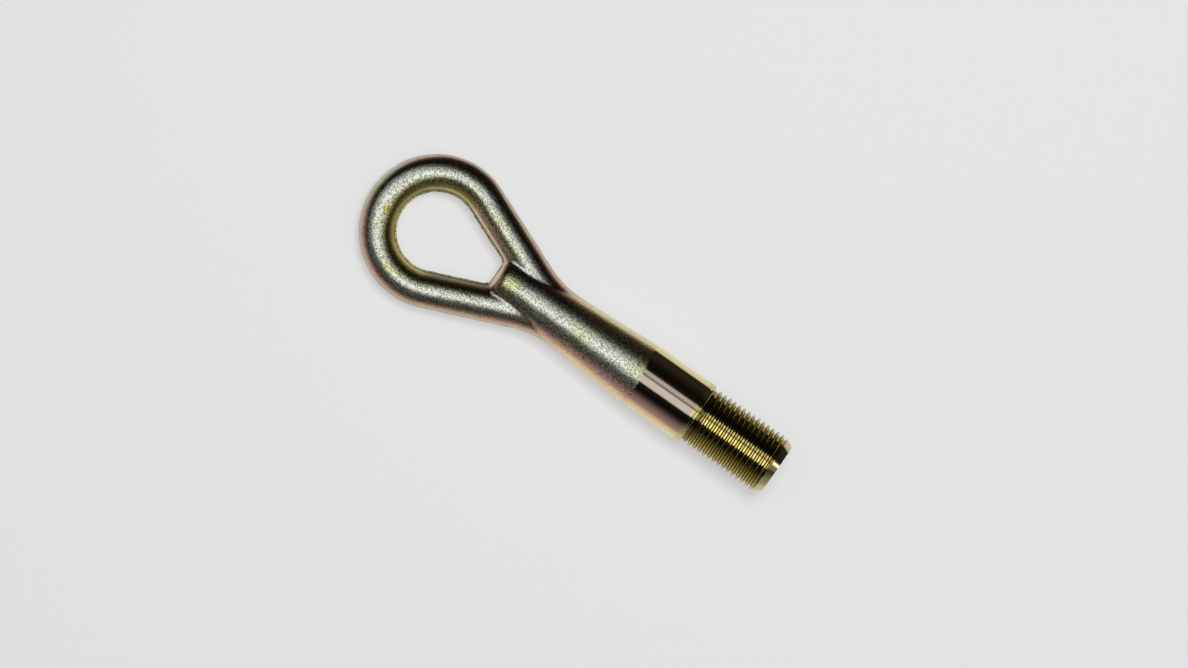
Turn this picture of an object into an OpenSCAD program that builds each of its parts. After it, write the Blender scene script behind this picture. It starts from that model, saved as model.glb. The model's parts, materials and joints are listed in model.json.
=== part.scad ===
// Screw-in towing eye for a car, drop-forged in one piece from steel bar.
// Lengths in millimetres. The origin is the centre of the eye, +X runs along
// the shank to the threaded end, and the eye lies in the XY plane.

/* [Eye] */
// Inside radius of the eye, to the face of its round bar
eye_r = 14.3; // [12:0.1:20]
// Diameter of the round bar of the eye and of its two limbs
bar_d = 12.3; // [9:0.1:14]
// Angle between each straight limb and the shank
limb_angle = 22.5; // [18:0.5:27]
// Width of the opening at its flat end, between the limbs
opening_end_w = 10.2; // [8.8:0.1:12]
// Radius of the two corners at the flat end of the opening
corner_r = 1.4; // [1:0.1:3]

/* [Parting land] */
// Thickness of the land that the trimmed flash leaves at mid height
land_t = 1.3; // [0.6:0.1:2]
// How far the land stands into the opening
land_in = 0.35; // [0.2:0.05:0.5]
// Rounding of its edge in the two corners at the flat end
land_corner_r = 1; // [0.5:0.1:1.4]

/* [Ridge] */
// Diameter of the ridge between the limbs, at the opening
ridge_d = 15.4; // [12:0.1:18]
// Rounding of the ridge where it turns down into the opening
ridge_nose_r = 2.7; // [1:0.1:4]
// Draft of the flat end of the opening, to each side of mid height
nose_draft = 13; // [5:1:18]

/* [Shank] */
// Centre of the eye to the thinnest place of the shank
neck_reach = 55; // [50:0.5:62]
// Diameter of the shank at its thinnest place
neck_d = 19.4; // [18:0.1:21]
// Outer radius of the bend where each limb turns into the shank
bend_r = 35; // [25:1:45]
// Centre of the eye to the end of the forged taper
shank_reach = 85.5; // [75:0.5:110]
// Diameter of the smooth turned part of the shank
turned_d = 23.2; // [22.5:0.1:25]
// Length of the smooth turned part
turned_l = 24; // [10:0.1:40]

/* [Thread] */
// Outside diameter of the thread
thread_d = 22; // [20:0.1:22.4]
// Length of the thread, from the first crest to the end of the part
thread_l = 30.6; // [15:0.1:50]
// Diameter of the plain blank between the shoulder and the thread
blank_d = 20.3; // [18.8:0.1:21]
// Length of the plain blank
blank_l = 1.1; // [0.5:0.1:4]
// Length of the sloping shoulder down to the blank
shoulder_l = 0.5; // [0.3:0.1:3]
// Diameter of the flat end of the threaded part
tip_d = 18.6; // [16:0.1:19.6]
// Angle between the bevel at the end and the axis
tip_angle = 27.5; // [20:0.5:45]

/* [Hidden] */
$fn = 96;

bar_r = bar_d / 2;
ring_r = eye_r + bar_r;

// Each limb is a straight run of bar that leaves the ring along its tangent
limb_normal = [sin(limb_angle), cos(limb_angle)];
limb_along = [cos(limb_angle), -sin(limb_angle)];
limb_start = ring_r * limb_normal;

// Flat end of the opening, which is the face of the ridge
nose_x = (eye_r - opening_end_w / 2 * limb_normal.y) / limb_normal.x;
corner_x = nose_x - corner_r;
corner_y = (eye_r - corner_r - corner_x * limb_normal.x) / limb_normal.y;
// The corner bends stand this little inside the limbs and the ridge, which they run into
corner_sink = 0.1;
// The ridge starts this far ahead of its nose, which is then cut to shape
nose_lead = 0.5;
ridge_taper = atan((neck_d - ridge_d) / 2 / (neck_reach - nose_x));
// Centre of the rounding of the nose, which stands this little proud of the ridge and the drafted end
nose_rise = 0.02;
nose_r = ridge_nose_r - nose_rise;
nose_top = ridge_d / 2 + nose_rise - ridge_nose_r / cos(ridge_taper);
nose_round_x = (nose_r + sin(nose_draft) * nose_top) / (cos(nose_draft) - sin(nose_draft) * tan(ridge_taper));
nose_round = [nose_x + nose_round_x, nose_top + nose_round_x * tan(ridge_taper)];
nose_foot = nose_round + nose_r * [-cos(nose_draft), sin(nose_draft)];

// Edge of the parting land. Where its straight edges and its rounds meet, they cross by this little
land_crossing = 0.01;
land_edge_r = eye_r - land_in;
land_end_x = nose_x - 0.1;
land_corner_x = land_end_x - land_corner_r;
land_corner_y = (land_edge_r - land_corner_r - land_corner_x * limb_normal.x) / limb_normal.y;

// Taper of the forged shank, from its neck to the turned part
taper = atan((turned_d - neck_d) / 2 / (shank_reach - neck_reach));
taper_normal = [-sin(taper), cos(taper)];

// The bend turns each limb parallel to the side of the shank, a little below it
bend_sink = 0.15;
bend_line_r = bend_r + bar_r;
bend_turn = limb_angle + taper;
shank_line = neck_reach * taper_normal.x + neck_d / 2 * taper_normal.y - bar_r - bend_sink;
crossing = [
    (ring_r * taper_normal.y - shank_line * limb_normal.y) / sin(bend_turn),
    (ring_r * -taper_normal.x + shank_line * limb_normal.x) / sin(bend_turn)
];
bend_start = crossing - bend_line_r * tan(bend_turn / 2) * limb_along;
bend_centre = bend_start + bend_line_r * limb_normal;
limb_l = norm(bend_start - limb_start);

// One length of bar enters the next this far, and is this much thinner so that it ends inside it
entry_l = 0.5;
entry_gap = 0.02;
entry_angle = atan(entry_l / bend_line_r);

// Stations along the turned end
shoulder_x = shank_reach + turned_l;
blank_x = shoulder_x + shoulder_l;
thread_x = blank_x + blank_l;
lead_l = (thread_d - blank_d) / 2;
tip_l = (thread_d - tip_d) / 2 / tan(tip_angle);
end_x = thread_x + lead_l + thread_l;

// Turns a profile drawn with the radius across and the station upwards about the X axis
module turned() {
    rotate([0, 90, 0])
        rotate_extrude()
            children();
}

module both_sides() {
    children();
    mirror([0, 1, 0])
        children();
}

// Sweeps round bar about an upright axis, from one angle to another
module bent_bar(line_r, section_r, from, to) {
    rotate([0, 0, from])
        rotate_extrude(angle = to - from)
            translate([line_r, 0])
                circle(section_r);
}

// The ring, then both limbs, each entering the one before it, as far as the end of their bends
module eye_bar() {
    bent_bar(ring_r, bar_r, 90 - limb_angle, 270 + limb_angle);
    both_sides() {
        translate([limb_start.x, limb_start.y, 0])
            rotate([0, 90, -limb_angle])
                translate([0, 0, -entry_l])
                    cylinder(r = bar_r - entry_gap, h = limb_l + entry_l);
        translate([bend_centre.x, bend_centre.y, 0])
            bent_bar(bend_line_r, bar_r - 2 * entry_gap, 270 - limb_angle - entry_angle, 270 + taper);
        // The bar carries on round the corner of the opening, a little inside the limb and the ridge
        translate([corner_x, corner_y, 0])
            bent_bar(corner_r + bar_r, bar_r - corner_sink, -limb_angle, 90 - limb_angle);
    }
}

// The ridge between the limbs, which widens without a step into the forged shank. Its nose is
// rounded into the drafted end of the opening
module forged_shank() {
    intersection() {
        turned()
            polygon([
                [0, nose_x - nose_lead],
                [ridge_d / 2 - nose_lead * tan(ridge_taper), nose_x - nose_lead],
                [neck_d / 2, neck_reach],
                [turned_d / 2, shank_reach],
                [0, shank_reach]
            ]);
        union() {
            rotate([90, 0, 0])
                linear_extrude(2 * turned_d, center = true)
                    polygon([
                        [nose_x, 0],
                        nose_foot,
                        nose_round,
                        [nose_round.x, turned_d],
                        [end_x, turned_d],
                        [end_x, -turned_d],
                        [nose_round.x, -turned_d],
                        [nose_round.x, -nose_round.y],
                        [nose_foot.x, -nose_foot.y]
                    ]);
            for (side = [-1, 1])
                translate([nose_round.x, 0, side * nose_round.y])
                    rotate([90, 0, 0])
                        cylinder(r = ridge_nose_r, h = 2 * turned_d - 1, center = true);
        }
    }
}

// Outline of the opening inside the parting land, on one side
module land_edge() {
    corner = [land_corner_x, land_corner_y];
    polygon([
        [0, 0],
        (land_edge_r - land_crossing) * limb_normal,
        corner + (land_corner_r - land_crossing) * limb_normal,
        corner,
        corner + [land_corner_r - land_crossing, 0],
        [corner.x + land_corner_r - land_crossing, -land_crossing],
        [0, -land_crossing]
    ]);
    translate(corner)
        circle(land_corner_r);
}

// Low land round the opening, where the dies met and the flash was trimmed off. It reaches out
// to the middle of the bar, and at the flat end it stands only just proud of the nose of the ridge
module parting_land() {
    mid_x = nose_x + bar_r;
    mid_y = (ring_r - mid_x * limb_normal.x) / limb_normal.y;
    difference() {
        translate([0, 0, -land_t / 2])
            linear_extrude(land_t) {
                circle(ring_r);
                polygon([
                    limb_start - bar_r / 2 * limb_normal,
                    [mid_x, mid_y],
                    [mid_x, -mid_y],
                    [limb_start.x - bar_r / 2 * limb_normal.x, bar_r / 2 * limb_normal.y - limb_start.y]
                ]);
            }
        translate([0, 0, -land_t])
            linear_extrude(2 * land_t) {
                circle(land_edge_r);
                land_edge();
                mirror([0, 1])
                    land_edge();
            }
    }
}

// Smooth seat, shoulder, rolled blank and thread. The thread is drawn at its outside diameter
module turned_end() {
    turned()
        polygon([
            [0, shank_reach],
            [turned_d / 2, shank_reach],
            [turned_d / 2, shoulder_x],
            [blank_d / 2, blank_x],
            [blank_d / 2, thread_x],
            [thread_d / 2, thread_x + lead_l],
            [thread_d / 2, end_x - tip_l],
            [tip_d / 2, end_x],
            [0, end_x]
        ]);
}

module tow_eye() {
    color("darkkhaki")
        union() {
            eye_bar();
            parting_land();
            forged_shank();
            turned_end();
        }
}

tow_eye();
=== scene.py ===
import json
import math

import bmesh
import bpy
import numpy as np
from mathutils import Matrix, Vector, noise


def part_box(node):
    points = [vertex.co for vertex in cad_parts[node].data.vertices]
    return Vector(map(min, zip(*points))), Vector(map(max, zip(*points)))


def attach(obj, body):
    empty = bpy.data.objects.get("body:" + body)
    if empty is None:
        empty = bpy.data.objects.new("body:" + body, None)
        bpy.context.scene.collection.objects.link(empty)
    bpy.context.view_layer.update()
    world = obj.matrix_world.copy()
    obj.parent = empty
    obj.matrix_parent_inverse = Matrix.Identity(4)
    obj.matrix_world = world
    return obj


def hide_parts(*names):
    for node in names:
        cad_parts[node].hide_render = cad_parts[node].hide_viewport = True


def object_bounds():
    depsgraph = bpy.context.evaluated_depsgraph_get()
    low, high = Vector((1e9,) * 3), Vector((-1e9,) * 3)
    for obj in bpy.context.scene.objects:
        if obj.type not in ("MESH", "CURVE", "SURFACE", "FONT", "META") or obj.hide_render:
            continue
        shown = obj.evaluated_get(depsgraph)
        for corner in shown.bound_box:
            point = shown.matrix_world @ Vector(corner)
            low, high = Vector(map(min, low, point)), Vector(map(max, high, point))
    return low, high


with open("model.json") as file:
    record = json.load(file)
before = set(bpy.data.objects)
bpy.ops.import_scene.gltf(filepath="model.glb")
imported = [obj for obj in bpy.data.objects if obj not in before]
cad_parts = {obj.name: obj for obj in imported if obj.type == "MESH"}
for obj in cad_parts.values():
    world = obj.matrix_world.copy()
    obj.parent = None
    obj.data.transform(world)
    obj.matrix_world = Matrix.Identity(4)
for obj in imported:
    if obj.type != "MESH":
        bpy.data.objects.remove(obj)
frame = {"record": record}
cad_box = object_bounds()
part_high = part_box("tow_eye")[1]


# Camera. It looks straight down on the part, which lies across the picture with
# the eye at the upper left and the thread at the lower right.
SHANK_SLOPE = math.radians(34.93)
VIEW_WIDTH = 0.4085
VIEW_DISTANCE = 2.6
VIEW_CENTRE = Vector((0.06453, 0.00214, 0))

lens = bpy.data.cameras.new("camera")
lens.sensor_width = 36
lens.lens = lens.sensor_width * VIEW_DISTANCE / VIEW_WIDTH
lens.clip_end = 10
camera = bpy.data.objects.new("camera", lens)
camera.location = VIEW_CENTRE + Vector((0, 0, VIEW_DISTANCE))
camera.rotation_euler = (0, 0, SHANK_SLOPE)
bpy.context.scene.collection.objects.link(camera)
bpy.context.scene.camera = camera
bpy.context.scene.view_settings.view_transform = "Standard"


# Table. A pale sheet that the part lies on: the far end of the eye and the start of the
# thicker turned seat touch it, so it slopes a little under the part. The bright steel
# mirrors it greyer away from the part, and dark past a slanting edge on the far side.
BAR_R = 0.00615
RING_R = part_high.y - BAR_R
SEAT_R = part_high.z
SEAT_START = 0.0855
TABLE_SIZE = 6
TABLE_TONE = (0.80, 0.80, 0.80, 1)
PAPER_ROUGHNESS = 0.9
# Part of the paper's tone is its own glow, so that it looks even and the shadow on it stays soft
PAPER_GLOW = 0.96
GLOW_SHARE = 0.62
# The part is as wide as the ring at the origin, and as narrow as the seat this far along
EYE_TO_SHANK = 0.05
FAR_SIDE_SLANT = 0.15
FAR_SIDE_EDGE = (0.033, 0.044)
FAR_SIDE_TONE = 0.03
NEAR_SIDE_FADE = (0.040, 0.110)
NEAR_SIDE_TONE = 0.45


def feed(socket, value):
    """Link the socket to a node's output, or set it to a plain value."""
    if isinstance(value, bpy.types.NodeSocket):
        socket.id_data.links.new(value, socket)
    else:
        socket.default_value = value


def node_beside(kind, *values):
    """A new node in the material or world that the first linked value belongs to."""
    tree = next(value.id_data for value in values if isinstance(value, bpy.types.NodeSocket))
    return tree.nodes.new(kind)


def math_of(operation, *values):
    node = node_beside("ShaderNodeMath", *values)
    node.operation = operation
    for socket, value in zip(node.inputs, values):
        feed(socket, value)
    return node.outputs[0]


def ramp_up(value, start, end, low=0.0, high=1.0, curve="SMOOTHSTEP"):
    """Go from low to high while the value goes from start to end."""
    node = node_beside("ShaderNodeMapRange", value)
    node.interpolation_type = curve
    for name, number in (("From Min", start), ("From Max", end), ("To Min", low), ("To Max", high)):
        node.inputs[name].default_value = number
    feed(node.inputs["Value"], value)
    return node.outputs["Result"]


def blend_colours(factor, first, second, way="MIX"):
    node = node_beside("ShaderNodeMix", factor, first, second)
    node.data_type = "RGBA"
    node.blend_type = way
    for name, value in (("Factor", factor), ("A", first), ("B", second)):
        feed(node.inputs[name], value)
    return node.outputs["Result"]


table_slope = math.atan((SEAT_R - BAR_R) / (SEAT_START + RING_R))
table_turn = Matrix.Rotation(table_slope, 3, "Y")
table_bm = bmesh.new()
bmesh.ops.create_grid(table_bm, x_segments=1, y_segments=1, size=TABLE_SIZE / 2)
bmesh.ops.rotate(table_bm, verts=table_bm.verts, cent=(0, 0, 0), matrix=table_turn)
bmesh.ops.translate(table_bm, verts=table_bm.verts, vec=(-RING_R, 0, -BAR_R))
table_mesh = bpy.data.meshes.new("table")
table_bm.to_mesh(table_mesh)
table_bm.free()

table_paper = bpy.data.materials.new("table_paper")
table_paper.use_nodes = True
paper_nodes = table_paper.node_tree.nodes
paper_shader = paper_nodes["Principled BSDF"]
paper_shader.inputs["Roughness"].default_value = PAPER_ROUGHNESS
paper_shader.inputs["Specular IOR Level"].default_value = 0
paper_place = paper_nodes.new("ShaderNodeTexCoord")
paper_split = paper_nodes.new("ShaderNodeSeparateXYZ")
feed(paper_split.inputs[0], paper_place.outputs["Object"])
paper_x, paper_y = paper_split.outputs["X"], paper_split.outputs["Y"]

along_part = math_of("MINIMUM", math_of("MAXIMUM", paper_x, 0.0), cad_box[1][0] - SEAT_R)
beside_part = math_of("SUBTRACT", paper_x, along_part)
paper_squares = math_of("ADD", math_of("POWER", beside_part, 2.0), math_of("POWER", paper_y, 2.0))
half_width = ramp_up(paper_x, 0.0, EYE_TO_SHANK, RING_R + BAR_R, SEAT_R)
from_part = math_of("SUBTRACT", math_of("SQRT", paper_squares), half_width)
across_sheet = math_of("SUBTRACT", paper_y, math_of("MULTIPLY", paper_x, FAR_SIDE_SLANT))
on_sheet = ramp_up(across_sheet, *FAR_SIDE_EDGE, 1.0, 0.0)
mirrored_tone = ramp_up(from_part, *NEAR_SIDE_FADE, TABLE_TONE[0], NEAR_SIDE_TONE)
mirrored_tone = math_of("ADD", math_of("MULTIPLY", mirrored_tone, on_sheet), FAR_SIDE_TONE)

paper_rays = paper_nodes.new("ShaderNodeLightPath")
paper_tone = blend_colours(paper_rays.outputs["Is Glossy Ray"], TABLE_TONE, mirrored_tone)
feed(paper_shader.inputs["Base Color"], paper_tone)
paper_glow = paper_nodes.new("ShaderNodeEmission")
paper_glow.inputs["Strength"].default_value = PAPER_GLOW
feed(paper_glow.inputs["Color"], paper_tone)
seen_rays = math_of("MAXIMUM", paper_rays.outputs["Is Camera Ray"], paper_rays.outputs["Is Glossy Ray"])
seen_rays = math_of("MAXIMUM", seen_rays, paper_rays.outputs["Is Transmission Ray"])
paper_mix = paper_nodes.new("ShaderNodeMixShader")
glow_factor = math_of("MULTIPLY", seen_rays, GLOW_SHARE)
mixed = (glow_factor, paper_shader.outputs[0], paper_glow.outputs[0])
for socket, value in zip(paper_mix.inputs, mixed):
    feed(socket, value)
feed(paper_nodes["Material Output"].inputs["Surface"], paper_mix.outputs[0])
table_mesh.materials.append(table_paper)
table = bpy.data.objects.new("table", table_mesh)
bpy.context.scene.collection.objects.link(table)


# Studio light. A soft lamp lights the table. What the bright steel mirrors is a set of
# panels overhead, a low glow on the side of the picture's lower left, and dark around.
KEY_PLACE = (0.12, 0.34, 1.5)
KEY_SIZE = (0.5, 0.5)
KEY_POWER = 17
PANEL_HEIGHT = 1.0
PANEL_GAP = 0.01
# Each panel: its start and end along the shank, then across it, and how strongly it glows
PANELS = {
    "near_middle": ((-0.45, 0.57), (-0.385, 0.055), 0.64),
    "near_wide": ((-0.85, 0.95), (-0.385, 0.055), 0.27),
    "near_long": ((-1.30, 1.95), (-0.400, 0.485), 0.26),
    "far_middle": ((-0.60, 1.95), (0.190, 0.435), 0.52),
    "far_end": ((1.42, 1.85), (0.150, 0.480), 2.40),
}
# The low glow grows from the first height to the second, and from the far side to the near one
SKY_GLOW_HEIGHTS = (0.70, -0.10)
SKY_GLOW = 0.42
SKY_SIDE = (0.04, -0.50)
FAR_SKY_SHARE = 0.08
LEAST_GLOW = 0.006
ROOM_TONE = (0.05, 0.05, 0.05, 1)
BACKDROP_TONE = (0.75, 0.75, 0.75, 1)


def area_lamp(name, place, size, power):
    lamp = bpy.data.lights.new(name, "AREA")
    lamp.shape = "RECTANGLE"
    lamp.size, lamp.size_y = size
    lamp.energy = power
    lamp_object = bpy.data.objects.new(name, lamp)
    lamp_object.location = place
    lamp_object.visible_camera = False
    bpy.context.scene.collection.objects.link(lamp_object)
    return lamp_object


key_lamp = area_lamp("key_lamp", KEY_PLACE, KEY_SIZE, KEY_POWER)
key_lamp.visible_glossy = False
for level, (name, (along, across, glow)) in enumerate(PANELS.items()):
    length, width = along[1] - along[0], across[1] - across[0]
    place = (sum(along) / 2, sum(across) / 2, PANEL_HEIGHT + PANEL_GAP * level)
    area_lamp(name, place, (length, width), glow * math.pi * length * width)

studio = bpy.data.worlds.new("studio")
studio.use_nodes = True
bpy.context.scene.world = studio
studio_nodes = studio.node_tree.nodes
studio_way = studio_nodes.new("ShaderNodeTexCoord")
studio_split = studio_nodes.new("ShaderNodeSeparateXYZ")
feed(studio_split.inputs[0], studio_way.outputs["Generated"])
low_sky = ramp_up(studio_split.outputs["Z"], *SKY_GLOW_HEIGHTS, 0.0, SKY_GLOW)
near_side = ramp_up(studio_split.outputs["Y"], *SKY_SIDE, FAR_SKY_SHARE, 1.0, "LINEAR")
low_glow = math_of("MULTIPLY_ADD", low_sky, near_side, LEAST_GLOW)
studio_rays = studio_nodes.new("ShaderNodeLightPath")
studio_tone = blend_colours(studio_rays.outputs["Is Glossy Ray"], ROOM_TONE, low_glow)
studio_tone = blend_colours(studio_rays.outputs["Is Camera Ray"], studio_tone, BACKDROP_TONE)
feed(studio_nodes["Background"].inputs["Color"], studio_tone)


# Bar of the eye. A round bar bent to a ring, with both limbs led straight in to the
# shank and bent along it. In the forging they flow together into one piece.
LIMB_ANGLE = math.radians(22.5)
BEND_R = 0.035
NECK_REACH = 0.055
NECK_R = 0.0097
SHANK_TAPER = math.atan((SEAT_R - NECK_R) / (SEAT_START - NECK_REACH))
BAR_SIDES = 40
RING_STEPS = 72
BEND_STEPS = 12
UP = Vector((0, 0, 1))

limb_normal = Vector((math.sin(LIMB_ANGLE), math.cos(LIMB_ANGLE), 0))
limb_along = Vector((math.cos(LIMB_ANGLE), -math.sin(LIMB_ANGLE), 0))
taper_normal = Vector((-math.sin(SHANK_TAPER), math.cos(SHANK_TAPER), 0))
limb_start = limb_normal * RING_R
bend_line_r = BEND_R + BAR_R
shank_line = taper_normal.dot(Vector((NECK_REACH, NECK_R, 0))) - BAR_R
bend_turn = LIMB_ANGLE + SHANK_TAPER
crossing = Vector((
    (RING_R * taper_normal.y - shank_line * limb_normal.y) / math.sin(bend_turn),
    (shank_line * limb_normal.x - RING_R * taper_normal.x) / math.sin(bend_turn),
    0,
))
bend_start = crossing - limb_along * bend_line_r * math.tan(bend_turn / 2)
bend_centre = bend_start + limb_normal * bend_line_r
bend_end = bend_centre - taper_normal * bend_line_r
limb_length = (bend_start - limb_start).length

body_bm = bmesh.new()
bmesh.ops.create_circle(body_bm, segments=BAR_SIDES, radius=BAR_R)
stand_up = Matrix.Rotation(math.pi / 2, 3, "X")
bmesh.ops.rotate(body_bm, verts=body_bm.verts, cent=(0, 0, 0), matrix=stand_up)
bmesh.ops.translate(body_bm, verts=body_bm.verts, vec=(RING_R, 0, 0))
to_limb = Matrix.Rotation(math.pi / 2 - LIMB_ANGLE, 3, "Z")
bmesh.ops.rotate(body_bm, verts=body_bm.verts, cent=(0, 0, 0), matrix=to_limb)
first_loop = list(body_bm.edges)
ring = bmesh.ops.spin(
    body_bm,
    geom=body_bm.verts[:] + body_bm.edges[:],
    cent=(0, 0, 0),
    axis=UP,
    angle=math.pi + 2 * LIMB_ANGLE,
    steps=RING_STEPS,
)
last_loop = [e for e in ring["geom_last"] if isinstance(e, bmesh.types.BMEdge)]
for side, loop in ((1, first_loop), (-1, last_loop)):
    flip = Vector((1, side, 1))
    straight = bmesh.ops.extrude_edge_only(body_bm, edges=loop)["geom"]
    bmesh.ops.translate(
        body_bm,
        verts=[v for v in straight if isinstance(v, bmesh.types.BMVert)],
        vec=limb_along * limb_length * flip,
    )
    bmesh.ops.spin(
        body_bm,
        geom=[g for g in straight if not isinstance(g, bmesh.types.BMFace)],
        cent=bend_centre * flip,
        axis=UP,
        angle=bend_turn * side,
        steps=BEND_STEPS,
    )
bmesh.ops.holes_fill(body_bm, edges=[e for e in body_bm.edges if e.is_boundary])


# Ridge and shank. The forged middle is round: a ridge that starts between the limbs
# at the flat end of the opening and widens to the thick end of the shank.
OPENING_END_W = 0.0102
RIDGE_R = 0.0077
RIDGE_NOSE_R = 0.0027
NOSE_DRAFT = math.radians(13)
NOSE_STEPS = 8
SHANK_SPARE = 0.004
SHANK_SIDES = 72
# Points closer than this count as one
HAIR = 1e-6


def turn_round_shank(bm, profile, sides, advance=0.0):
    """Turn a profile of stations and radii once round the shank's axis, moved along by advance."""
    verts = [bm.verts.new((station, radius, 0)) for station, radius in profile]
    edges = [bm.edges.new(pair) for pair in zip(verts, verts[1:])]
    bmesh.ops.spin(
        bm,
        geom=verts + edges,
        cent=(0, 0, 0),
        axis=(1, 0, 0),
        dvec=(advance / sides, 0, 0),
        angle=2 * math.pi,
        steps=sides,
        use_merge=advance == 0,
    )


eye_r = RING_R - BAR_R
nose_x = (eye_r - OPENING_END_W / 2 * limb_normal.y) / limb_normal.x
nose_angles = [math.pi / 2 * step / NOSE_STEPS for step in range(NOSE_STEPS + 1)]
shank_profile = [(nose_x, 0)]
shank_profile += [
    (nose_x + RIDGE_NOSE_R * (1 - math.cos(a)), RIDGE_R - RIDGE_NOSE_R * (1 - math.sin(a)))
    for a in nose_angles
]
shank_profile += [
    (NECK_REACH, NECK_R),
    (SEAT_START, SEAT_R),
    (SEAT_START + SHANK_SPARE, SEAT_R),
    (SEAT_START + SHANK_SPARE, 0),
]
turn_round_shank(body_bm, shank_profile, SHANK_SIDES)
bmesh.ops.remove_doubles(body_bm, verts=body_bm.verts, dist=HAIR)
bmesh.ops.recalc_face_normals(body_bm, faces=body_bm.faces)


# One skin over the forging. The overlapping bodies are skinned as one, then each point
# is drawn to the true surface, with the hollow fillets that the dies leave between them.
SKIN_CELL = 0.00045
SKIN_PASSES = 5
# The surface's slope is found over one small step, and nothing is divided by less than these
PROBE = 1e-6
LEAST_STEEPNESS = 0.25
TINY = 1e-9
# Stations along the shank, and the fillet's width at each: widest in the opening's corners
FILLET_STATIONS = (0.0270, 0.0300, 0.0340, 0.0420)
FILLET_WIDTHS = (0.0018, 0.0010, 0.0010, 0.0003)
# The face of a forging swells a little from place to place, up to where it is turned
SWELL = 0.00005
SWELL_SCALE = 150
SWELL_FADE = 0.006

raw_mesh = bpy.data.meshes.new("forging_raw")
body_bm.to_mesh(raw_mesh)
body_bm.free()
raw = bpy.data.objects.new("forging_raw", raw_mesh)
bpy.context.scene.collection.objects.link(raw)
remesh = raw.modifiers.new("skin", "REMESH")
remesh.mode = "VOXEL"
remesh.voxel_size = SKIN_CELL
skinned = raw.evaluated_get(bpy.context.evaluated_depsgraph_get())
steel_bm = bmesh.new()
steel_bm.from_mesh(skinned.to_mesh())
skinned.to_mesh_clear()
bpy.data.objects.remove(raw)
bpy.data.meshes.remove(raw_mesh)


def bar_centre(x, y):
    """Nearest point of the bar's centre line to points of the plan with y above zero."""
    along = (x - limb_start.x) * limb_along.x + (y - limb_start.y) * limb_along.y
    ring_scale = RING_R / np.maximum(np.hypot(x, y), TINY)
    bend_scale = bend_line_r / np.maximum(np.hypot(x - bend_centre.x, y - bend_centre.y), TINY)
    line_x = limb_start.x + along * limb_along.x
    line_y = limb_start.y + along * limb_along.y
    bend_x = bend_centre.x + (x - bend_centre.x) * bend_scale
    bend_y = bend_centre.y + (y - bend_centre.y) * bend_scale
    on_ring = along < 0
    on_bend = along > limb_length
    past_bend = (x - bend_end.x) * taper_normal.y - (y - bend_end.y) * taper_normal.x > 0
    bend_x = np.where(past_bend, bend_end.x, bend_x)
    bend_y = np.where(past_bend, bend_end.y, bend_y)
    return (
        np.where(on_ring, x * ring_scale, np.where(on_bend, bend_x, line_x)),
        np.where(on_ring, y * ring_scale, np.where(on_bend, bend_y, line_y)),
    )


def smooth_union(a, b, width):
    """Height above two bodies that are joined by a hollow fillet of that width."""
    blend = np.clip(0.5 + 0.5 * (b - a) / width, 0, 1)
    return b + (a - b) * blend - width * blend * (1 - blend)


def skin_height(p):
    """How far points stand above the surface of the forging."""
    x, y, z = p[:, 0], np.abs(p[:, 1]), p[:, 2]
    centre_x, centre_y = bar_centre(x, y)
    bar = np.sqrt((x - centre_x) ** 2 + (y - centre_y) ** 2 + z**2) - BAR_R
    radius = np.hypot(y, z)
    ridge_slope = (NECK_R - RIDGE_R) / (NECK_REACH - nose_x)
    back = (radius - RIDGE_R - (x - nose_x) * ridge_slope) * math.cos(math.atan(ridge_slope))
    shank_slope = math.tan(SHANK_TAPER)
    taper = (radius - NECK_R - (x - NECK_REACH) * shank_slope) * math.cos(SHANK_TAPER)
    seat = radius - SEAT_R
    side = np.maximum(np.maximum(back, taper), seat)
    face = (nose_x - x + np.abs(z) * math.tan(NOSE_DRAFT)) * math.cos(NOSE_DRAFT)
    over_nose = np.maximum(face + RIDGE_NOSE_R, 0)
    over_side = np.maximum(side + RIDGE_NOSE_R, 0)
    inside = np.minimum(np.maximum(face, side) + RIDGE_NOSE_R, 0)
    shank = inside + np.hypot(over_nose, over_side) - RIDGE_NOSE_R
    return smooth_union(bar, shank, np.interp(x, FILLET_STATIONS, FILLET_WIDTHS))


points = np.array([v.co for v in steel_bm.verts])
for _ in range(SKIN_PASSES):
    height = skin_height(points)
    rises = [skin_height(points + PROBE * axis) - height for axis in np.eye(3)]
    slope = np.stack([rise / PROBE for rise in rises], axis=1)
    points -= (height / np.maximum((slope**2).sum(axis=1), LEAST_STEEPNESS))[:, None] * slope
outward = slope / np.linalg.norm(slope, axis=1)[:, None]
for vert, point, way in zip(steel_bm.verts, points, outward):
    spot = Vector(point)
    rough = min(max((SEAT_START - spot.x) / SWELL_FADE, 0), 1)
    vert.co = spot + Vector(way) * SWELL * rough * noise.fractal(spot * SWELL_SCALE, 1.0, 2.0, 2)


# Parting land. The flash that the dies squeeze out at mid height is trimmed off, which
# leaves a low land with sheared edges round the opening, and hardly any outside.
# Half its thickness and the slope of its edge, then how far it stands out on each stretch
LAND_HALF = 0.00065
LAND_STEP = 0.0001
LAND_INSIDE = 0.00058
LAND_NOSE = 0.00012
LAND_OUTSIDE = 0.00008
LAND_END = 0.075
LAND_FADE = 0.03
LAND_RAGGED = 0.35
LAND_RAGGED_SCALE = 260
NOSE_MARGIN = 0.0006


def cut_through(bm, place, way, clear_outer=False):
    bmesh.ops.bisect_plane(
        bm,
        geom=bm.verts[:] + bm.edges[:] + bm.faces[:],
        plane_co=place,
        plane_no=way,
        clear_outer=clear_outer,
    )


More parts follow.
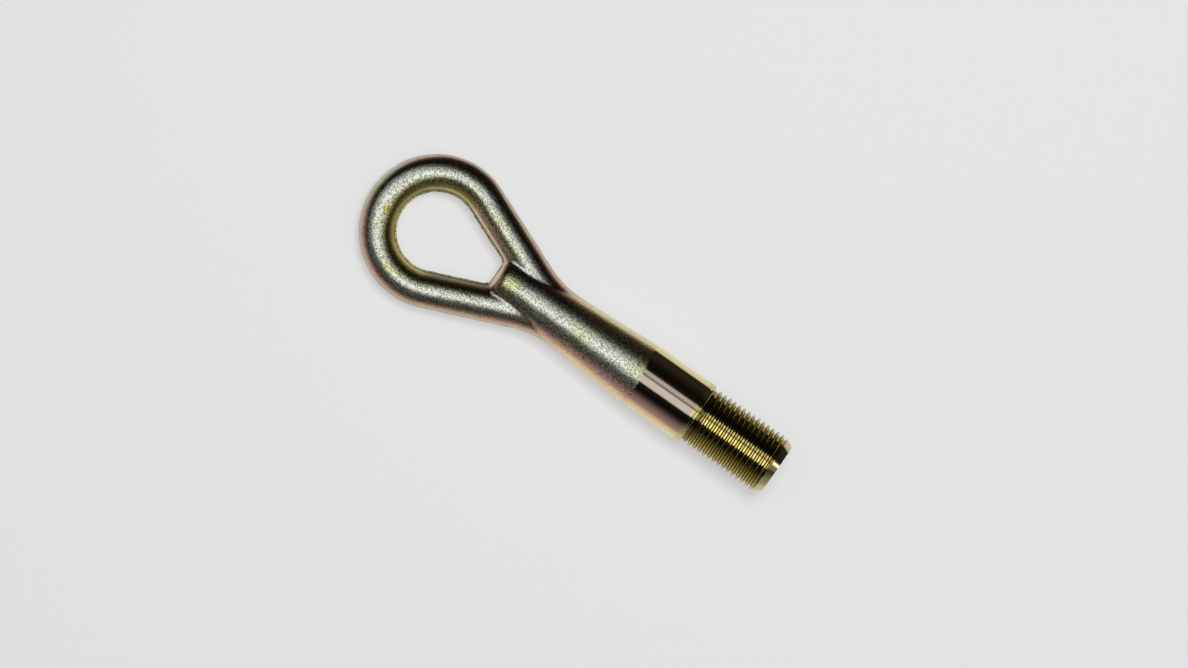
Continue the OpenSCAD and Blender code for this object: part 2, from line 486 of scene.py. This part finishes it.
for level in (-LAND_HALF - LAND_STEP, -LAND_HALF, LAND_HALF, LAND_HALF + LAND_STEP):
    cut_through(steel_bm, (0, 0, level), (0, 0, 1))
steel_bm.normal_update()
wall_layer = steel_bm.verts.layers.float.new("wall")
land_layer = steel_bm.verts.layers.float.new("land")
shifts = []
for vert in steel_bm.verts:
    x, y = vert.co.x, abs(vert.co.y)
    past_ring = (y - limb_start.y) * limb_along.y + (x - limb_start.x) * limb_along.x > 0
    away = vert.co.xy.to_3d().normalized()
    if past_ring:
        away = limb_normal * Vector((1, math.copysign(1, vert.co.y), 1))
    before_nose = x < nose_x + BAR_R / 2
    at_nose = x > nose_x - NOSE_MARGIN and y < OPENING_END_W / 2 - NOSE_MARGIN
    if before_nose:
        vert[wall_layer] = max(-vert.normal.dot(away), -vert.normal.x if at_nose else 0, 0)
    if before_nose and abs(vert.co.z) < LAND_HALF + LAND_STEP + HAIR:
        vert[land_layer] = float(vert.normal.dot(away) < 0)
    if abs(vert.co.z) > LAND_HALF + HAIR or x > LAND_END:
        continue
    level_way = Vector((vert.normal.x, vert.normal.y, 0)).normalized()
    inside = level_way.dot(away) < 0 and before_nose
    ragged = 1 + LAND_RAGGED * noise.noise(vert.co * LAND_RAGGED_SCALE)
    reach = LAND_OUTSIDE * min(max((LAND_END - x) / LAND_FADE, 0), 1)
    if inside:
        reach = LAND_NOSE if at_nose else LAND_INSIDE
    shifts.append((vert, level_way * reach * ragged))
for vert, shift in shifts:
    vert.co += shift


# Turned end. The seat, its shoulder and the blank for the thread are cut smooth on a
# lathe, round the same axis as the forged shank that they carry on from.
TURNED_SIDES = 128
SEAT_STEPS = 12
GROOVE_X = 0.1086
GROOVE_DEPTH = 0.00012
SEAT_END = 0.1094
BLANK_X = 0.1099
THREAD_X = 0.1101
BLANK_R = 0.01015
EDGE_ROUND = 0.0003
# Forging, turned end and thread stay this far apart until their rims are joined
CUT_GAP = 0.0002

cut_through(steel_bm, (SEAT_START, 0, 0), (1, 0, 0), clear_outer=True)
seat_step = (GROOVE_X - EDGE_ROUND - SEAT_START - CUT_GAP) / SEAT_STEPS
seat_profile = [(SEAT_START + CUT_GAP + seat_step * step, SEAT_R) for step in range(SEAT_STEPS + 1)]
seat_profile += [
    (GROOVE_X, SEAT_R - GROOVE_DEPTH),
    (GROOVE_X + EDGE_ROUND, SEAT_R),
    (SEAT_END, SEAT_R),
    (SEAT_END + EDGE_ROUND, SEAT_R - EDGE_ROUND),
    (BLANK_X - EDGE_ROUND / 3, BLANK_R + EDGE_ROUND),
    (BLANK_X, BLANK_R),
    (THREAD_X, BLANK_R),
]
turned_bm = bmesh.new()
turn_round_shank(turned_bm, seat_profile, TURNED_SIDES)


# Thread. A right-hand metric thread of 22 mm and 2 mm pitch, rolled on the blank: it
# rises out of the blank over its first turn, and a bevel ends it at the flat tip.
PITCH = 0.002
ROOT_R = 0.00979
CREST_X = 0.11196
# The screw is made this many turns longer at each end and then cut
SPARE_TURNS = 3
TIP_R = 0.0093
TIP_ANGLE = math.radians(27.5)
RUN_OUT = 0.0018
# The last groove closes before it cuts into the bevel
LAST_TURN = 0.1394
LAST_RISE = 0.0005
# One turn: places along it as shares of the pitch, and how far each rises from root to crest
THREAD_FORM = [
    (-0.09, 1.0),
    (0.09, 1.0),
    (0.14, 0.93),
    (0.36, 0.10),
    (0.41, 0.0),
    (0.59, 0.0),
    (0.64, 0.10),
    (0.86, 0.93),
]

end_x = part_high.x
thread_mount = next(mount for mount in frame["record"]["mounts"] if mount["name"] == "thread")
crest_r = thread_mount["dims"]["r_mm"] / 1000
thread_height = crest_r - ROOT_R
turn_count = round((end_x - CREST_X) / PITCH) + 2 * SPARE_TURNS
thread_profile = [
    (CREST_X + (turn - SPARE_TURNS + offset) * PITCH, ROOT_R + thread_height * rise)
    for turn in range(turn_count)
    for offset, rise in THREAD_FORM
]
thread_bm = bmesh.new()
turn_round_shank(thread_bm, thread_profile, TURNED_SIDES, advance=PITCH)
bmesh.ops.remove_doubles(thread_bm, verts=thread_bm.verts, dist=2 * HAIR)
cut_through(thread_bm, (THREAD_X + CUT_GAP, 0, 0), (-1, 0, 0), clear_outer=True)
cut_through(thread_bm, (end_x, 0, 0), (1, 0, 0), clear_outer=True)
for vert in thread_bm.verts:
    radius = math.hypot(vert.co.y, vert.co.z)
    rise = min(max((vert.co.x - THREAD_X - CUT_GAP) / RUN_OUT, 0), 1)
    wanted = BLANK_R + (radius - BLANK_R) * rise * rise * (3 - 2 * rise)
    plain = min(max((vert.co.x - LAST_TURN) / LAST_RISE, 0), 1)
    wanted += (crest_r - wanted) * plain
    wanted = min(wanted, TIP_R + (end_x - vert.co.x) * math.tan(TIP_ANGLE))
    vert.co.y *= wanted / radius
    vert.co.z *= wanted / radius
tip_rim = [e for e in thread_bm.edges if e.is_boundary and min(v.co.x for v in e.verts) > end_x - HAIR]
bmesh.ops.holes_fill(thread_bm, edges=tip_rim)


# The whole piece. Forging, turned end and thread are one bar of steel, so their open
# rims are joined to each other and they become one closed skin.
SHARP_EDGE = math.radians(40)

for end_bm in (turned_bm, thread_bm):
    end_mesh = bpy.data.meshes.new("joined")
    end_bm.to_mesh(end_mesh)
    end_bm.free()
    steel_bm.from_mesh(end_mesh)
    bpy.data.meshes.remove(end_mesh)
open_rims = [e for e in steel_bm.edges if e.is_boundary]
for join_x in (SEAT_START, THREAD_X):
    rims = [e for e in open_rims if all(abs(v.co.x - join_x) < 2 * CUT_GAP for v in e.verts)]
    bmesh.ops.bridge_loops(steel_bm, edges=rims)
bmesh.ops.recalc_face_normals(steel_bm, faces=steel_bm.faces)
for face in steel_bm.faces:
    face.smooth = True
for edge in steel_bm.edges:
    edge.smooth = edge.calc_face_angle(0) < SHARP_EDGE
steel_mesh = bpy.data.meshes.new("forged_tow_eye")
steel_bm.to_mesh(steel_mesh)
steel_bm.free()
steel = bpy.data.objects.new("forged_tow_eye", steel_mesh)
bpy.context.scene.collection.objects.link(steel)


# Plating. The zinc has a yellow passivation: gold on the thread, pale on top, gold to pink down the
# sides, with painted highlight, shade and reflection by slope. The forging is blasted and grainy under
# it, and the seat is turned smooth.
FORGED_ROUGHNESS = 0.28
TURNED_ROUGHNESS = 0.12
THREAD_ROUGHNESS = 0.13
LAND_ROUGHENING = 0.25

passivated = bpy.data.materials.new("passivated_steel")
passivated.use_nodes = True
nodes = passivated.node_tree.nodes
shader = nodes["Principled BSDF"]
shader.inputs["Metallic"].default_value = 1
steel_place = nodes.new("ShaderNodeTexCoord")
spot_split = nodes.new("ShaderNodeSeparateXYZ")
feed(spot_split.inputs[0], steel_place.outputs["Object"])
spot_x, spot_y, spot_z = spot_split.outputs["X"], spot_split.outputs["Y"], spot_split.outputs["Z"]
way_split = nodes.new("ShaderNodeSeparateXYZ")
feed(way_split.inputs[0], steel_place.outputs["Normal"])
way_x, way_y, way_z = way_split.outputs["X"], way_split.outputs["Y"], way_split.outputs["Z"]


def tones(value, stops):
    """A colour that changes with the value, through stops of a place and the colour there."""
    node = node_beside("ShaderNodeValToRGB", value)
    elements = node.color_ramp.elements
    for element, (position, colour) in zip(elements, (stops[0], stops[-1])):
        element.position = position
        element.color = (*colour, 1)
    for position, colour in stops[1:-1]:
        elements.new(position).color = (*colour, 1)
    feed(node.inputs["Fac"], value)
    return node.outputs["Color"]


def mark_of(name):
    node = nodes.new("ShaderNodeAttribute")
    node.attribute_name = name
    return node.outputs["Fac"]


def speckle(scale, detail, coordinates=steel_place.outputs["Object"]):
    node = node_beside("ShaderNodeTexNoise", coordinates)
    node.inputs["Scale"].default_value = scale
    node.inputs["Detail"].default_value = detail
    feed(node.inputs["Vector"], coordinates)
    return node.outputs["Fac"]


def sum_of_squares(a, b):
    return math_of("ADD", math_of("MULTIPLY", a, a), math_of("MULTIPLY", b, b))


# Where each finish lies. Each pair is where it starts to change and where it has changed
CLOUD_SCALE = 90
MOTTLE_SCALE = 420
SEAT_LINE_RAGGED = 0.0012
SEAT_LINE_SLANT = 0.13
BLASTED_END = (SEAT_START + 0.0009, SEAT_START + 0.0015)
THREAD_START = (SEAT_END - 0.0002, SEAT_END + 0.0003)
SEAT_END_BAND = (0.1074, 0.1082)
SHANK_START = (0.046, 0.062)
cloud = speckle(CLOUD_SCALE, 2)
mottle = speckle(MOTTLE_SCALE, 3)
ragged_x = math_of("ADD", spot_x, math_of("MULTIPLY", mottle, SEAT_LINE_RAGGED))
slanted_x = math_of("ADD", ragged_x, math_of("MULTIPLY", spot_y, SEAT_LINE_SLANT))
is_forged = ramp_up(slanted_x, *BLASTED_END, 1.0, 0.0)
is_thread = ramp_up(spot_x, *THREAD_START)
is_seat_end = ramp_up(ragged_x, *SEAT_END_BAND)
is_shank = ramp_up(spot_x, *SHANK_START)
tip_up = math_of("ABSOLUTE", way_z)
wall = mark_of("wall")

# Shank and seat, from the side towards -Y over the top to the side towards +Y: the passivation's hues,
# with painted reflection in lighter gold at both rims and painted shade darker over the top
SIDE_CLOUDING = 0.12
clouding = math_of("MULTIPLY", math_of("SUBTRACT", cloud, 0.5), SIDE_CLOUDING)
side_on = ramp_up(math_of("ADD", way_y, clouding), -1.0, 1.0, curve="LINEAR")
shank_tint_and_painted_light = tones(side_on, [
    (0.00, (0.80, 0.68, 0.38)),
    (0.05, (0.80, 0.61, 0.32)),
    (0.10, (0.68, 0.44, 0.28)),
    (0.16, (0.60, 0.36, 0.30)),
    (0.28, (0.58, 0.39, 0.32)),
    (0.40, (0.50, 0.41, 0.33)),
    (0.48, (0.47, 0.40, 0.34)),
    (0.57, (0.55, 0.44, 0.38)),
    (0.66, (0.58, 0.43, 0.30)),
    (0.88, (0.60, 0.43, 0.20)),
    (0.93, (0.76, 0.66, 0.34)),
    (1.00, (0.79, 0.74, 0.40)),
])

# Bar of the eye, from its side up to its top: rosy, but greener at the far end of the ring, with
# painted reflection at the side, a painted shade band down the slope and a painted highlight on top
RING_END = (-0.012, -0.018)
RING_END_Y = 0.0045
RING_END_WIDTH = (0.0065, 0.0125)
eye_tint_and_painted_light = tones(tip_up, [
    (0.00, (0.62, 0.48, 0.36)),
    (0.43, (0.57, 0.42, 0.29)),
    (0.57, (0.50, 0.34, 0.23)),
    (0.67, (0.41, 0.27, 0.19)),
    (0.75, (0.29, 0.19, 0.14)),
    (0.85, (0.24, 0.19, 0.14)),
    (0.94, (0.66, 0.66, 0.54)),
])
ring_end_tint_and_painted_light = tones(tip_up, [
    (0.00, (0.56, 0.55, 0.38)),
    (0.43, (0.52, 0.51, 0.37)),
    (0.60, (0.38, 0.38, 0.26)),
    (0.72, (0.22, 0.22, 0.15)),
    (0.88, (0.15, 0.16, 0.10)),
    (0.94, (0.70, 0.70, 0.56)),
])
from_end_y = math_of("ABSOLUTE", math_of("SUBTRACT", spot_y, RING_END_Y))
ring_end_middle = ramp_up(from_end_y, *RING_END_WIDTH, 1.0, 0.0)
at_ring_end = math_of("MULTIPLY", ring_end_middle, ramp_up(spot_x, *RING_END))
eye_tint_and_painted_light = blend_colours(at_ring_end, eye_tint_and_painted_light, ring_end_tint_and_painted_light)

# Walls of the opening, with painted reflection and shade: olive round the ring and dark olive where it
# faces +X, rosy along the limbs and dark brown where they face +Y
WALL_FROM_BAR = (0.15, 0.45)
LIMB_WALL_START = (0.003, 0.008)
RING_WALL_AHEAD = (0.3, 0.8)
LIMB_WALL_SIDES = (-0.1, 0.3)
DARK_OLIVE_SHADE = (0.25, 0.23, 0.06, 1)
ROSY_REFLECTION = (0.70, 0.52, 0.38, 1)
DARK_BROWN_SHADE = (0.22, 0.17, 0.10, 1)
ring_wall_reflection_and_shade = tones(wall, [
    (0.30, (0.32, 0.28, 0.09)),
    (0.58, (0.34, 0.30, 0.10)),
    (0.80, (0.40, 0.36, 0.12)),
    (1.00, (0.45, 0.41, 0.17)),
])
ring_wall_reflection_and_shade = blend_colours(ramp_up(way_x, *RING_WALL_AHEAD), ring_wall_reflection_and_shade, DARK_OLIVE_SHADE)
limb_wall_reflection_and_shade = blend_colours(ramp_up(way_y, *LIMB_WALL_SIDES), ROSY_REFLECTION, DARK_BROWN_SHADE)
wall_reflection_and_shade = blend_colours(ramp_up(spot_x, *LIMB_WALL_START), ring_wall_reflection_and_shade, limb_wall_reflection_and_shade)
eye_tint_and_painted_light = blend_colours(ramp_up(wall, *WALL_FROM_BAR), eye_tint_and_painted_light, wall_reflection_and_shade)

# Top of the forging: a painted highlight, pale and clouded, yellower where it turns down into the
# opening and where the ridge starts, with one golden stain on the ring
TOP_EDGE = (0.84, 0.94)
TOP_TO_WALL = (0.05, 0.35)
TOP_TO_WALL_TONE = (0.78, 0.76, 0.46, 1)
RIDGE_YELLOW_START = (0.0260, 0.0280)
RIDGE_YELLOW_END = (0.0300, 0.0400)
RIDGE_YELLOW_WIDTH = (0.0035, 0.0050)
RIDGE_YELLOW_TONE = (0.76, 0.78, 0.40, 1)
STAIN_X = -0.0185
STAIN_Y = -0.0032
STAIN_EDGE = (0.0016**2, 0.0005**2)
STAIN_STRENGTH = 0.8
STAIN_TONE = (0.62, 0.48, 0.07, 1)
forged_top = math_of("MULTIPLY", is_forged, ramp_up(tip_up, *TOP_EDGE))
top_highlight_and_tint = tones(cloud, [
    (0.30, (0.83, 0.91, 0.46)),
    (0.45, (0.90, 0.97, 0.68)),
    (0.65, (0.94, 0.98, 0.79)),
])
top_highlight_and_tint = blend_colours(ramp_up(wall, *TOP_TO_WALL), top_highlight_and_tint, TOP_TO_WALL_TONE)
ridge_yellow = ramp_up(spot_x, *RIDGE_YELLOW_END, 1.0, 0.0)
ridge_yellow = math_of("MULTIPLY", ridge_yellow, ramp_up(spot_x, *RIDGE_YELLOW_START))
ridge_middle = ramp_up(math_of("ABSOLUTE", spot_y), *RIDGE_YELLOW_WIDTH, 1.0, 0.0)
ridge_yellow = math_of("MULTIPLY", ridge_yellow, ridge_middle)
top_highlight_and_tint = blend_colours(ridge_yellow, top_highlight_and_tint, RIDGE_YELLOW_TONE)
from_stain = sum_of_squares(math_of("SUBTRACT", spot_x, STAIN_X), math_of("SUBTRACT", spot_y, STAIN_Y))
stain = ramp_up(from_stain, *STAIN_EDGE, 0.0, STAIN_STRENGTH)
top_highlight_and_tint = blend_colours(stain, top_highlight_and_tint, STAIN_TONE)

# Parting land: dull olive, but bright yellow on the part of the ring towards -X and -Y
LAND_YELLOW_EDGE = (-0.004, -0.012)
LAND_OLIVE = (0.42, 0.40, 0.22, 1)
LAND_YELLOW = (0.78, 0.75, 0.36, 1)
yellow_part = ramp_up(math_of("ADD", spot_x, spot_y), *LAND_YELLOW_EDGE)
land_tone = blend_colours(yellow_part, LAND_OLIVE, LAND_YELLOW)

# Thread: gold, with a painted highlight in its roots and on its crests on top, and painted shade that
# dulls them to each side of the top and darkens the flanks, and a paler bevel
ROOT_EDGE = (ROOT_R + 0.0001, ROOT_R + 0.0004)
CREST_EDGE = (crest_r - 0.00012, crest_r - 0.00004)
SIDE_SHADE_RANGE = (0.0022, 0.0042)
BEVEL_START = (end_x - 0.0034, end_x - 0.0030)
FLANK_SHADE = (0.19, 0.15, 0.05, 1)
ROOT_TOP_HIGHLIGHT = (0.96, 0.84, 0.34, 1)
ROOT_SIDE_SHADE = (0.46, 0.36, 0.095, 1)
CREST_TOP_HIGHLIGHT = (0.80, 0.68, 0.25, 1)
CREST_SIDE_SHADE = (0.50, 0.41, 0.12, 1)
BEVEL_TONE = (0.60, 0.50, 0.27, 1)
from_axis = math_of("SQRT", sum_of_squares(spot_y, spot_z))
on_root = ramp_up(from_axis, *ROOT_EDGE, 1.0, 0.0)
on_crest = ramp_up(from_axis, *CREST_EDGE)
thread_side_shade = ramp_up(math_of("ABSOLUTE", spot_y), *SIDE_SHADE_RANGE)
root_highlight_and_shade = blend_colours(thread_side_shade, ROOT_TOP_HIGHLIGHT, ROOT_SIDE_SHADE)
crest_highlight_and_shade = blend_colours(thread_side_shade, CREST_TOP_HIGHLIGHT, CREST_SIDE_SHADE)
thread_tint_and_shade = blend_colours(on_root, FLANK_SHADE, root_highlight_and_shade)
thread_tint_and_shade = blend_colours(on_crest, thread_tint_and_shade, crest_highlight_and_shade)
thread_tint_and_shade = blend_colours(ramp_up(spot_x, *BEVEL_START), thread_tint_and_shade, BEVEL_TONE)

# All of the plating, with the grain specks of the blasted face, strongest on top where they also stand
# in as painted glints, and fading down its sides
SEAT_END_TONE = (0.60, 0.55, 0.25, 1)
SPECK_SCALE = 1750
SPECK_EDGE = (0.38, 0.60)
SPECK_TONES = (0.45, 1.40)
SPECKLED_TOP = (0.45, 0.90)
SIDE_SPECKS = 0.30
colour = blend_colours(is_shank, eye_tint_and_painted_light, shank_tint_and_painted_light)
colour = blend_colours(forged_top, colour, top_highlight_and_tint)
colour = blend_colours(mark_of("land"), colour, land_tone)
colour = blend_colours(is_seat_end, colour, SEAT_END_TONE)
colour = blend_colours(is_thread, colour, thread_tint_and_shade)
specks = math_of("SUBTRACT", ramp_up(speckle(SPECK_SCALE, 2), *SPECK_EDGE, *SPECK_TONES), 1.0)
grain_and_glint_share = math_of("MULTIPLY", is_forged, ramp_up(tip_up, *SPECKLED_TOP, SIDE_SPECKS, 1.0))
specks = math_of("ADD", 1.0, math_of("MULTIPLY", grain_and_glint_share, specks))
feed(shader.inputs["Base Color"], blend_colours(1, colour, specks, "MULTIPLY"))

roughness = TURNED_ROUGHNESS
for share, change in (
    (is_forged, FORGED_ROUGHNESS - TURNED_ROUGHNESS),
    (is_thread, THREAD_ROUGHNESS - TURNED_ROUGHNESS),
    (mark_of("land"), LAND_ROUGHENING),
):
    roughness = math_of("ADD", math_of("MULTIPLY", share, change), roughness)
feed(shader.inputs["Roughness"], roughness)

# Grain of the blasted face, and the fine rings that the lathe leaves on the turned end
GRAIN_SCALE = 2300
GRAIN_HEIGHT = 0.00009
LATHE_SCALE = 5000
LATHE_STRETCH = (1, 0.02, 0.02)
LATHE_HEIGHT = 0.000006


def bump(height, distance, strength):
    node = node_beside("ShaderNodeBump", height)
    node.inputs["Distance"].default_value = distance
    feed(node.inputs["Strength"], strength)
    feed(node.inputs["Height"], height)
    return node


grain = bump(speckle(GRAIN_SCALE, 3), GRAIN_HEIGHT, is_forged)
round_axis = nodes.new("ShaderNodeMapping")
round_axis.inputs["Scale"].default_value = LATHE_STRETCH
feed(round_axis.inputs["Vector"], steel_place.outputs["Object"])
lathe_rings = speckle(LATHE_SCALE, 2, round_axis.outputs["Vector"])
lathe_marks = bump(lathe_rings, LATHE_HEIGHT, math_of("SUBTRACT", 1.0, is_forged))
feed(lathe_marks.inputs["Normal"], grain.outputs["Normal"])
feed(shader.inputs["Normal"], lathe_marks.outputs["Normal"])
steel_mesh.materials.append(passivated)

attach(steel, "root")
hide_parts("tow_eye")
